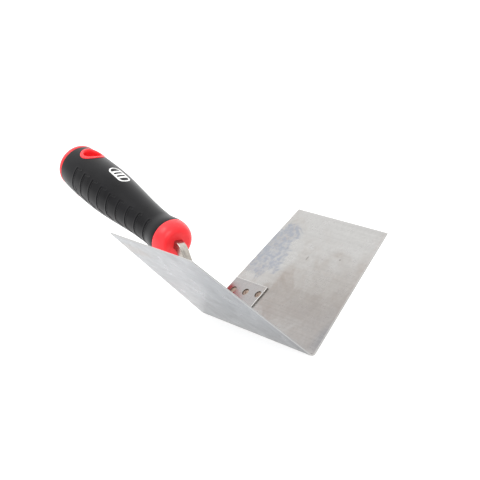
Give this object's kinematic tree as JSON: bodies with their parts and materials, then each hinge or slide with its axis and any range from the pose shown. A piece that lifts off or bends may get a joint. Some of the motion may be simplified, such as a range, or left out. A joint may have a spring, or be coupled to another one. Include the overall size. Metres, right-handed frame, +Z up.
{
  "type": "inside corner trowel",
  "caption": "Drywall and plastering trowel with a steel blade bent into two wings for finishing inside corners, and a soft-grip handle on a curved tang.",
  "frame": {"origin": "middle of the footprint, at the height of the spine's lowest line", "axes": "+X forward along the spine toward the blade's front tip, +Y toward the right wing, +Z up, away from the wall corner"},
  "size_m": [0.2568, 0.1316, 0.0795],
  "materials": {
    "blade": "fine ground satin stainless sheet with faint heat and handling marks",
    "bracket": "satin sheet steel",
    "tang": "brushed bar with rounded bright edges",
    "weld": "dull rippled weld metal",
    "plug": "dull brownish weld metal",
    "core": "satin hard plastic",
    "grip": "soft matt overmould",
    "print": "flat white pad print"
  },
  "bodies": {
    "root": {"blade": "blade", "bracket": "bracket", "tang": "tang", "tang_weld_right": "weld", "tang_weld_left": "weld", "plug_right_1": "plug", "plug_right_2": "plug", "plug_right_3": "plug", "plug_left_1": "plug", "plug_left_2": "plug", "plug_left_3": "plug", "handle_core": "core", "hang_liner": "core", "grip": "grip", "print_mark": "print"}
  },
  "joints": []
}
